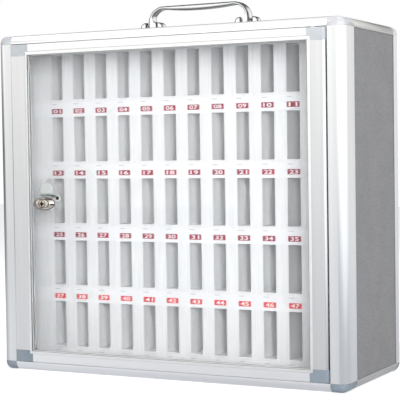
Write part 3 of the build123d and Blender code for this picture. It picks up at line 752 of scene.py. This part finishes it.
def pull_piece():
    """Clear domed disc with a flat lower edge, and below it a bar that runs to a round pinned boss."""
    low, high = node_box("finger_pull")
    cx, cz, half_x = (low[0] + high[0]) / 2, high[2] - PULL_R, (high[0] - low[0]) / 2
    front_y, back_y, foot = low[1], high[1], low[2]
    outline = []
    for i in range(72):
        a = math.radians(-41 + 262 * i / 71)
        outline.append((cx + half_x * math.cos(a), max(foot, cz + PULL_R * math.sin(a))))
    form = Form()
    dome = ((0.0, 0.0, 0.25), (1.2, 0.0, 0.2), (1.9, 0.35, 0.1), (2.5, 1.2, 0.0), (2.9, 2.8, 0.0),
            (3.1, 5.5, 0.0), (PULL_T, 9.0, 0.0))     # height, inset and edge share
    middle, tall = (foot + high[2]) / 2, (high[2] - foot) / 2
    form.rings([[(cx + (x - cx) * (1 - inset / half_x), back_y - rise * (back_y - front_y) / PULL_T,
                  middle + (z - middle) * (1 - inset / tall)) for x, z in outline] for rise, inset, mark in dome],
               edge=for_each([mark for rise, inset, mark in dome], len(outline)))
    # The bar takes the dark edge colour all over: painted shade.
    form.plate(PULL_BAR, back_y, back_y - 1.4, edge=1.0)
    r = PULL_BOSS_R
    boss = ((2.3, 0.0, 1.0), (r, 0.0, 0.25), (r, 0.7, 0.25), (r - 0.9, 1.0, 0.0), (3.4, 1.0, 0.0),
            (2.9, 1.0, 1.0), (2.3, 0.9, 1.0))        # radius, height and edge share

    def ring(radius, rise):
        return oval_ring(*PULL_BOSS_AT, radius, radius, back_y - rise, 40)

    form.rings([ring(radius, rise) for radius, rise, mark in boss], close_start=False, close_end=False,
               edge=for_each([mark for radius, rise, mark in boss], 40))
    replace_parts(form.piece("smooth_pull", PULL, "door", "clear_pull", smooth_angle=60), "finger_pull")
    pin = Form().rings([ring(2.2, 0.0), ring(2.2, 1.2), ring(1.5, 1.7), ring(0.6, 1.8)])
    pin.piece("pull_pin", NEAR_BLACK, "door", "clear_pull")


pull_piece()

# ---------------------------------------------------------------- glazing bead and gap strip


def bead_piece():
    """Low bead round the window, mitred at its corners, that covers the slope of the door bars."""
    left, right = node_box("door_stile_lock")[1][0], node_box("door_stile_hinge")[0][0]
    foot, head = node_box("door_rail_base")[1][2], node_box("door_rail_top")[0][2]
    front_y, lift, roll, gap, slope = node_box("door_rail_top")[0][1], 0.55, 0.5, 0.2, 2.8
    form = Form()

    def side(width, rim, place, reach_start, reach_end):
        """place turns a distance out from the window and one along the side into x, z."""
        # Across the bead: distance out, depth and share of painted edge shade; rim is that share on the outer
        # edge.
        section = [(0.5, slope - 0.4, 0.3), (0.5, roll - lift, 1.0), (0.5 + roll * 0.3, roll * 0.3 - lift, 1.0),
                   (0.5 + roll, -lift, 1.0), (1.3 + roll, -lift, 0.0), (width - roll - 0.8, -lift, 0.0),
                   (width - roll, -lift, rim), (width - roll * 0.3, roll * 0.3 - lift, rim),
                   (width, roll - lift, rim), (width, 0.05, rim), (5.0, 0.05, 0.0)]
        rings = []
        for end, away in ((reach_start, 1), (reach_end, -1)):
            spots = [(*place(d, end + away * (gap - d)), front_y + deep) for d, deep, mark in section]
            rings.append([(x, y, z) for x, z, y in spots])
        form.rings(rings, edge=[mark for d, deep, mark in section] * 2)

    side(7.4, 1.0, lambda d, t: (t, head + d), left, right)
    side(5.8, 0.1, lambda d, t: (t, foot - d), left, right)
    side(5.4, 0.05, lambda d, t: (left - d, t), foot, head)
    side(5.4, 0.05, lambda d, t: (right + d, t), foot, head)
    form.piece("glazing_bead", BEAD, "door", "door_extrusion")


def gap_shade_strip():
    """Thin near-black strip on the lock side's post, where the door closes beside it: painted shade in the gap."""
    low, high = node_box("front_post_left")
    door_back = node_box("door_rail_top")[1][1]
    near_x, far_x = high[0] + 0.05, high[0] + 0.45
    outline = [(near_x, low[1] + 1.2), (far_x, low[1] + 1.6), (far_x, door_back - 0.4), (near_x, door_back)]
    form = Form().rings([[(x, y, z) for x, y in outline] for z in (low[2] + 1, high[2] - 1)])
    form.piece("gap_shade_strip", GAP_SHADE, "case", "gasket")


bead_piece()
gap_shade_strip()

# ---------------------------------------------------------------- numbered labels on the rack

SLOT_PITCH = 43.8
ROWS, COLUMNS = 5, 12
DARK_RED_ROWS = 3        # the upper rows, whose labels are a darker red
LABEL_W, LABEL_H, LABEL_T = 21.5, 8.5, 0.3
LABEL_DROP = 19.3        # from the foot of a slot down to the middle of its label
DIGITS_H, DIGITS_W = 6.2, 14.4
RIBBON_T, RIBBON_DROP = 0.15, 4.7
DASH_DROP, DASH_W, DASH_T = 7.2, 9.5, 0.05

slot_x = [(i - (COLUMNS - 1) / 2) * SLOT_PITCH for i in range(COLUMNS)]
row_boxes = [node_box(f"slot_dividers_row_{row + 1}") for row in range(ROWS)]
rack_face_y = row_boxes[0][0][1]
strip_feet = [high[2] for low, high in row_boxes[1:]] + [node_box("rack_strip_base")[0][2]]
ribbon_y = rack_face_y - RIBBON_T
label_y = ribbon_y - LABEL_T


def digits_mesh(text, x, y, z):
    """Outline of a number as a mesh, centred at x, z and standing forward from y."""
    curve = bpy.data.curves.new(text, "FONT")
    curve.body = text
    curve.align_x, curve.align_y = "CENTER", "CENTER"
    curve.size = 1.0
    curve.offset = 0.012
    curve.extrude = 0.03
    curve.resolution_u = 3
    item = bpy.data.objects.new(text, curve)
    bpy.context.collection.objects.link(item)
    bpy.context.view_layer.update()
    mesh = bpy.data.meshes.new_from_object(item.evaluated_get(bpy.context.evaluated_depsgraph_get()))
    bpy.data.objects.remove(item)
    xs, ys = [v.co.x for v in mesh.vertices], [v.co.y for v in mesh.vertices]
    wide, tall = max(xs) - min(xs), max(ys) - min(ys)
    mid_x, mid_y = (max(xs) + min(xs)) / 2, (max(ys) + min(ys)) / 2
    for v in mesh.vertices:
        v.co = (x + (v.co.x - mid_x) / wide * DIGITS_W, y - 0.05 - v.co.z,
                z + (v.co.y - mid_y) / tall * DIGITS_H)
    return mesh


def label_row(row):
    """The ribbon under a row of slots, with its number plates, digits and dashes."""
    foot, ribbon_low = row_boxes[row][0][2], strip_feet[row] + 0.4
    reach = node_box("rack_strips")[1][0] if row < ROWS - 1 else -slot_x[0] + SLOT_PITCH
    outline = rounded_outline(-reach, reach, ribbon_low, foot - RIBBON_DROP, 0.3)
    Form().plate(outline, rack_face_y, ribbon_y).piece(f"ribbon_{row + 1}", RIBBON, "case", "rack_white")
    plates, dashes, digits = Form(), Form(), bmesh.new()
    z, dash_z = foot - LABEL_DROP, foot - DASH_DROP
    for column, x in enumerate(slot_x):
        left = x - LABEL_W / 2
        plates.plate(rounded_outline(left, x + LABEL_W / 2, z - LABEL_H / 2, z + LABEL_H / 2, 0.7),
                     ribbon_y, label_y)
        dashes.plate(rounded_outline(left, left + DASH_W, dash_z - 0.5, dash_z + 0.5, 0.4, 2),
                     ribbon_y, ribbon_y - DASH_T)
        number = digits_mesh(f"{row * COLUMNS + column + 1:02d}", x, label_y, z)
        digits.from_mesh(number)
        bpy.data.meshes.remove(number)
    red = RED_LABEL if row < DARK_RED_ROWS else BRIGHT_LABEL
    plates.piece(f"labels_{row + 1}", red, "case", "rack_white")
    dashes.piece(f"dashes_{row + 1}", GREY_PRINT, "case", "rack_white")
    gathered = bpy.data.meshes.new(f"numbers_{row + 1}")
    digits.transform(Matrix.Scale(MM, 4))
    digits.to_mesh(gathered)
    digits.free()
    placed_piece(f"numbers_{row + 1}", gathered, WHITE_PRINT, "case")


for row in range(ROWS):
    label_row(row)

# ---------------------------------------------------------------- camera at the photo's place

YAW, PITCH, ROLL = 0.4824, 0.0361, -0.0141
CAMERA_AT = (1.03232, -1.95774, 0.36224)
LENS_MM, SENSOR_MM = 120.28, 36.0

forward = Vector((-math.sin(YAW), math.cos(YAW), 0))
right = Vector((math.cos(YAW), math.sin(YAW), 0))
up = Vector((0, 0, 1))
look = math.cos(PITCH) * forward - math.sin(PITCH) * up
head = math.cos(PITCH) * up + math.sin(PITCH) * forward
side = math.cos(ROLL) * right + math.sin(ROLL) * head
top = -math.sin(ROLL) * right + math.cos(ROLL) * head
lens = bpy.data.cameras.new("photo_camera")
lens.sensor_width = SENSOR_MM
lens.lens = LENS_MM
camera = bpy.data.objects.new("photo_camera", lens)
bpy.context.collection.objects.link(camera)
camera.matrix_world = Matrix([(side[i], top[i], -look[i], CAMERA_AT[i]) for i in range(3)] + [(0, 0, 0, 1)])
bpy.context.scene.camera = camera

# ---------------------------------------------------------------- floor, lamps and surroundings

bpy.ops.mesh.primitive_plane_add(size=12.0, location=(0, 0, 0))
floor = bpy.context.object
floor.name = "floor"
floor.data.materials.append(handled("floor_white", (0.93, 0.93, 0.93), (0.95, 0.95, 0.95), (0.8, 0.9), 1e-6))


def bright_side(tree, place, direction, edges, levels):
    """A level that goes from one value to another towards a direction, read from a place output."""
    where = add(tree, "ShaderNodeTexCoord")
    along = add(tree, "ShaderNodeVectorMath", operation="DOT_PRODUCT")
    tree.links.new(where.outputs[place], along.inputs[0])
    along.inputs[1].default_value = Vector(direction).normalized()
    made = add(tree, "ShaderNodeMapRange", interpolation_type="SMOOTHSTEP")
    for label, number in zip(("From Min", "From Max", "To Min", "To Max"), (*edges, *levels)):
        made.inputs[label].default_value = number
    tree.links.new(along.outputs["Value"], made.inputs["Value"])
    return made.outputs["Result"]


def chosen(tree, share, first, second):
    """One of two shaders, or a mix of them."""
    made = add(tree, "ShaderNodeMixShader")
    tree.links.new(share, made.inputs["Fac"])
    tree.links.new(first, made.inputs[1])
    tree.links.new(second, made.inputs[2])
    return made.outputs["Shader"]


def even_in_mirrors(material, colour, paleness):
    """Shows the floor as an even tone in reflections, and to the camera paler by a fixed amount."""
    tree = material.node_tree
    even = add(tree, "ShaderNodeEmission")
    even.inputs["Color"].default_value = (*colour, 1)
    # Darker at the left, less bright in front of the object, brighter at the right.
    fading_left, in_front, at_right = [
        bright_side(tree, "Object", (0.96, -0.28, 0), edges, levels) for edges, levels in (
            ((-1.3, -0.6), (0.45, 1.0)), ((-0.5, 0.3), (0.8, 0.66)), ((0.4, 1.1), (1.0, 1.9)))]
    tree.links.new(maths(tree, "MULTIPLY", fading_left, maths(tree, "MULTIPLY", in_front, at_right)),
                   even.inputs["Strength"])
    seen = add(tree, "ShaderNodeLightPath")
    paler = add(tree, "ShaderNodeEmission")
    tree.links.new(maths(tree, "MULTIPLY", seen.outputs["Is Camera Ray"], paleness), paler.inputs["Strength"])
    lifted = add(tree, "ShaderNodeAddShader")
    tree.links.new(tree.nodes["Principled BSDF"].outputs["BSDF"], lifted.inputs[0])
    tree.links.new(paler.outputs["Emission"], lifted.inputs[1])
    floor_tone = chosen(tree, seen.outputs["Is Glossy Ray"], lifted.outputs["Shader"], even.outputs["Emission"])
    tree.links.new(floor_tone, tree.nodes["Material Output"].inputs["Surface"])


even_in_mirrors(floor.data.materials[0], (0.96, 0.98, 1.03), 0.5)


def lamp(name, place, aim, size, power):
    """A soft lamp that lights the object but isn't itself seen in polished metal."""
    data = bpy.data.lights.new(name, "AREA")
    data.size = size
    data.energy = power
    item = bpy.data.objects.new(name, data)
    bpy.context.collection.objects.link(item)
    item.location = place
    item.rotation_mode = "QUATERNION"
    item.rotation_quaternion = (Vector(aim) - Vector(place)).to_track_quat("-Z", "Y")
    item.visible_glossy = False


lamp("key_lamp", (2.35, -3.3, 1.05), (0, 0, 0.3), 1.7, 170)
lamp("front_lamp", (-0.3, -4.2, 1.2), (0, 0, 0.3), 2.6, 4)
lamp("top_lamp", (0.1, 0.5, 2.4), (0, 0, 0.5), 1.6, 32)

world = bpy.data.worlds.new("surroundings")
bpy.context.scene.world = world
world.use_nodes = True
sky = world.node_tree


def background(strength, colour):
    """Light of one colour from all round; its strength is a number or a socket."""
    made = add(sky, "ShaderNodeBackground")
    made.inputs["Color"].default_value = (*colour, 1)
    if isinstance(strength, (int, float)):
        made.inputs["Strength"].default_value = strength
    else:
        sky.links.new(strength, made.inputs["Strength"])
    return made.outputs["Background"]


def sky_side(*settings):
    return bright_side(sky, "Generated", *settings)


UPWARD = (0, 0, 1)
soft_light = background(0.3, (0.97, 0.98, 1))
mirrored_light = sky_side(UPWARD, (-0.1, 0.25), (1.05, 1.55))
for direction, edges, levels in (
        (UPWARD, (0.6, 0.95), (1.0, 0.7)),               # the ceiling is less bright than the walls
        ((0.8, -0.6, 0.1), (0.6, 0.95), (1.0, 1.35)),    # a large soft box at the front right
        ((-0.2, 1, 0.35), (0.5, 0.95), (1.0, 0.6))):     # the wall behind lies in shade
    mirrored_light = maths(sky, "MULTIPLY", mirrored_light, sky_side(direction, edges, levels))
left_screen = maths(sky, "MULTIPLY", sky_side((-0.966, 0.259, 0), (0.46, 0.72), (0.0, 0.92)),
                    sky_side(UPWARD, (0.1, 0.4), (1.0, 0.0)))     # dark and low
rear_screen = sky_side((-0.42, 0.8, 0.36), (0.83, 0.95), (0.0, 0.88))
for screen in (left_screen, rear_screen):
    mirrored_light = maths(sky, "MULTIPLY", mirrored_light, maths(sky, "SUBTRACT", 1.0, screen))
in_mirrors = background(mirrored_light, (1, 0.995, 0.975))
white = background(1.0, (1, 1, 1))
seen = add(sky, "ShaderNodeLightPath")
lit = chosen(sky, seen.outputs["Is Glossy Ray"], soft_light, in_mirrors)
see_white = maths(sky, "MAXIMUM", seen.outputs["Is Camera Ray"], seen.outputs["Is Transmission Ray"])
sky.links.new(chosen(sky, see_white, lit, white), sky.nodes["World Output"].inputs["Surface"])
bpy.context.scene.view_settings.view_transform = "Standard"
